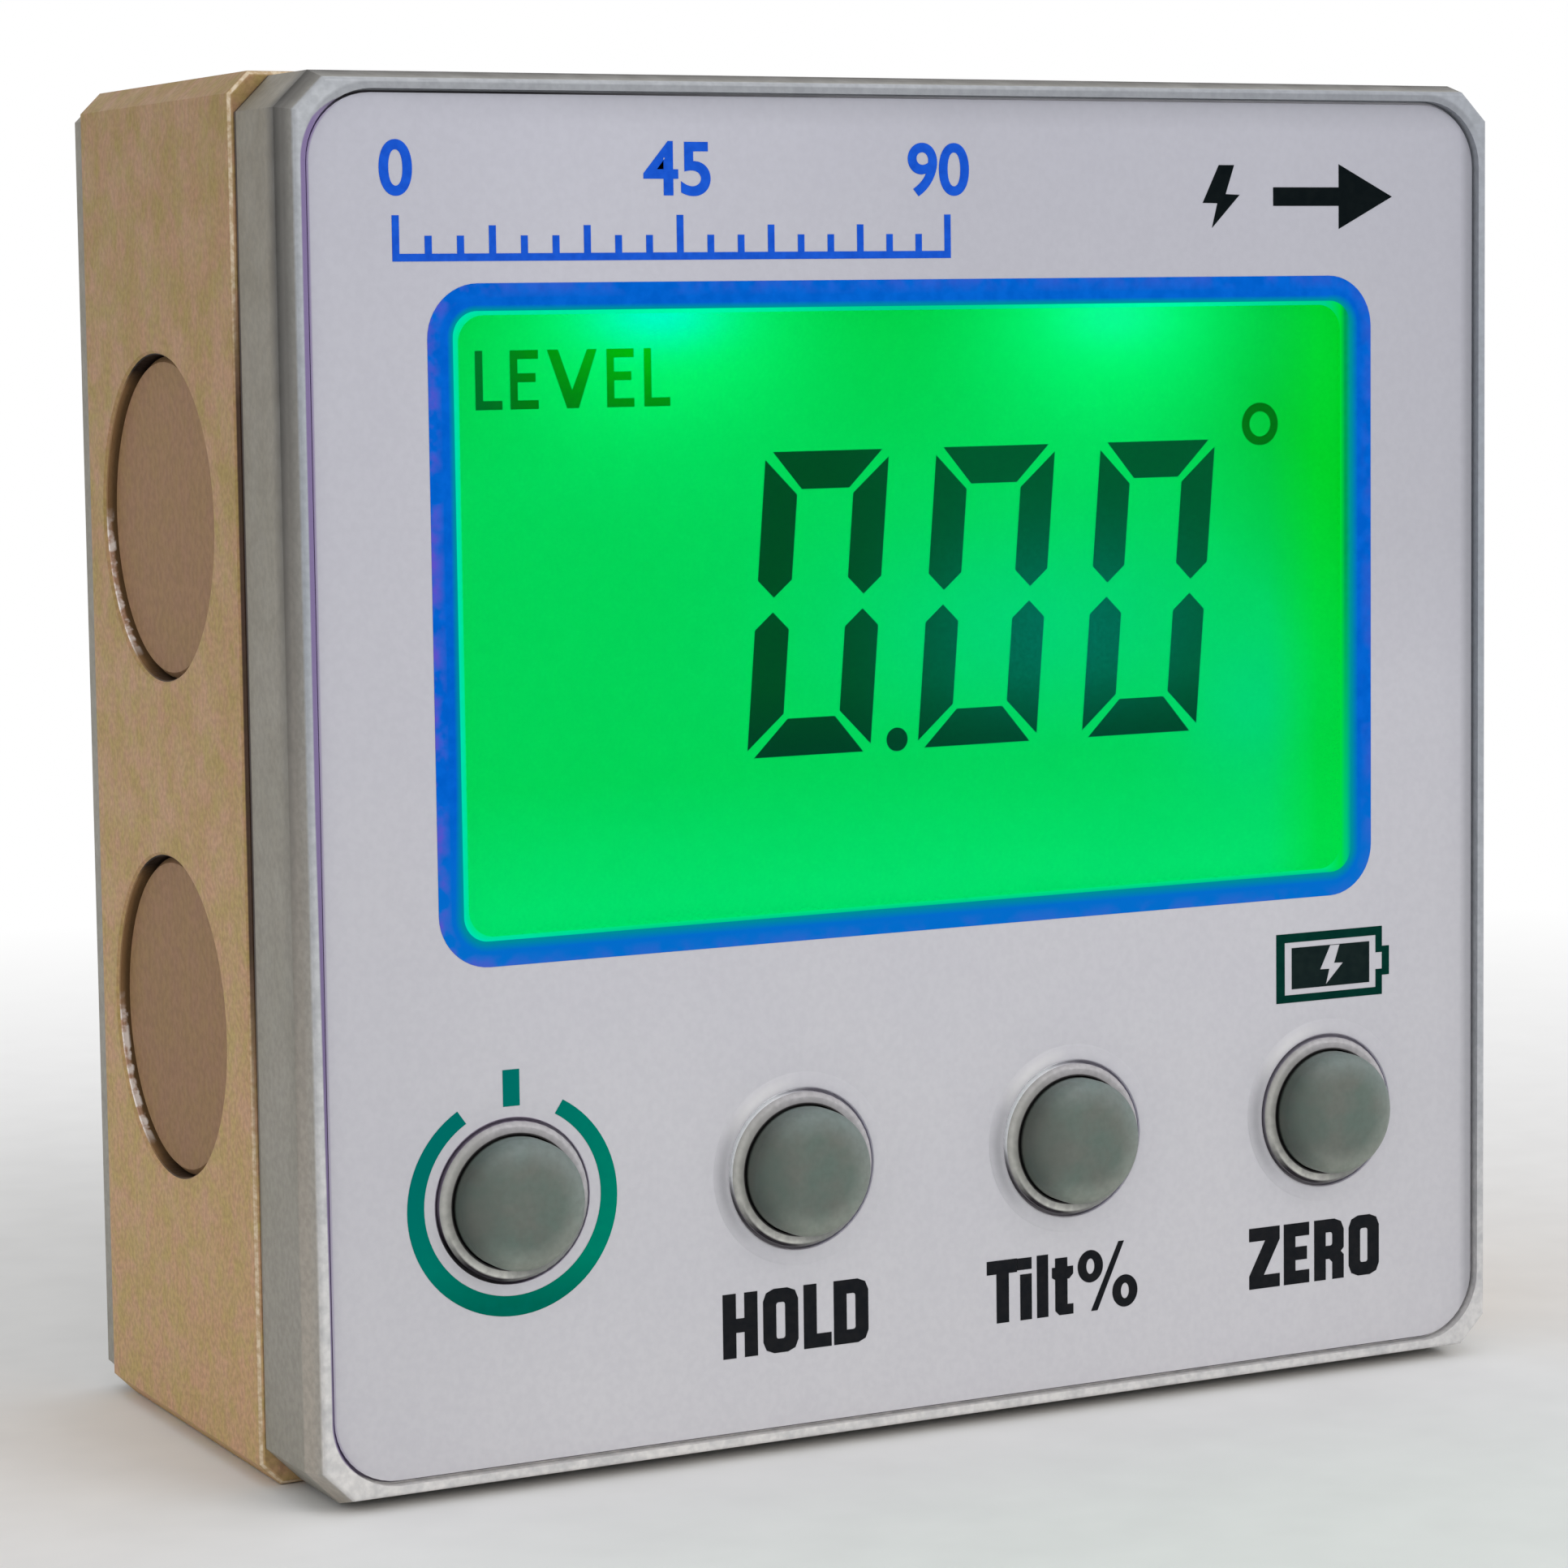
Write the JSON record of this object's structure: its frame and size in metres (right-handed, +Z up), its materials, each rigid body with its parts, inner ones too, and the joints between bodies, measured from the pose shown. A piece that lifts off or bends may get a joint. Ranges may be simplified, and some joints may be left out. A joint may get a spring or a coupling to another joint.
{
  "type": "digital level",
  "caption": "Square handheld digital level: metal measuring frame with magnets, printed face, lit angle display, push buttons and a charging socket.",
  "frame": {"origin": "on the bottom measuring face, midway between the sides and midway through the overall depth", "axes": "+Z up, +X to the right of someone reading the display, the display faces -Y"},
  "size_m": [0.0572, 0.0274, 0.0572],
  "materials": {
    "anodised_frame": "fine blasted champagne anodising",
    "cover_grey": "satin grey paint",
    "label_print": "satin printed film",
    "window_clear": "clear polished",
    "display_glass": "lit green field with dark segments",
    "light_diffuser": "frosted",
    "tray_white": "moulded white",
    "button_rubber": "soft matt",
    "magnet_face": "matt bronze coating",
    "board_green": "solder resist",
    "chip_black": "moulded resin",
    "steel_bright": "plated",
    "seal_black": "die-cut sheet",
    "cell_wrap": "silver film",
    "foam_pad": "foam tape",
    "lead_cover": "insulated wire"
  },
  "bodies": {
    "instrument": {"body_frame": "anodised_frame", "front_cover": "cover_grey", "face_label": "label_print", "display_window": "window_clear", "lcd_panel": "display_glass", "backlight_tray": "tray_white", "light_guide": "light_diffuser", "backlight_lamps": "tray_white", "contact_strip": "seal_black", "main_board": "board_green", "board_screws": "steel_bright", "tilt_sensor": "chip_black", "microcontroller": "chip_black", "charge_controller": "chip_black", "crystal": "steel_bright", "capacitors": "chip_black", "charging_socket": "steel_bright", "socket_tongue": "chip_black", "battery": "cell_wrap", "battery_pad": "foam_pad", "battery_header": "tray_white", "battery_leads": "lead_cover", "front_gasket": "seal_black", "rear_gasket": "seal_black", "back_cover": "cover_grey", "case_screws": "steel_bright", "power_switch": "steel_bright", "hold_switch": "steel_bright", "tilt_switch": "steel_bright", "zero_switch": "steel_bright", "magnet_left_lower": "magnet_face", "magnet_left_upper": "magnet_face", "magnet_right_lower": "magnet_face", "magnet_right_upper": "magnet_face", "magnet_top_left": "magnet_face", "magnet_top_right": "magnet_face", "magnet_base_left": "magnet_face", "magnet_base_right": "magnet_face"},
    "power_key": {"power_button": "button_rubber", "power_plunger": "chip_black"},
    "hold_key": {"hold_button": "button_rubber", "hold_plunger": "chip_black"},
    "tilt_key": {"tilt_button": "button_rubber", "tilt_plunger": "chip_black"},
    "zero_key": {"zero_button": "button_rubber", "zero_plunger": "chip_black"}
  },
  "joints": [
    {"name": "power_press", "type": "slide", "parent": "instrument", "child": "power_key", "axis": [0, 1, 0], "range_m": [0, 0.0005], "stiffness_N_per_m": 1500},
    {"name": "hold_press", "type": "slide", "parent": "instrument", "child": "hold_key", "axis": [0, 1, 0], "range_m": [0, 0.0005], "stiffness_N_per_m": 1500},
    {"name": "tilt_press", "type": "slide", "parent": "instrument", "child": "tilt_key", "axis": [0, 1, 0], "range_m": [0, 0.0005], "stiffness_N_per_m": 1500},
    {"name": "zero_press", "type": "slide", "parent": "instrument", "child": "zero_key", "axis": [0, 1, 0], "range_m": [0, 0.0005], "stiffness_N_per_m": 1500}
  ]
}
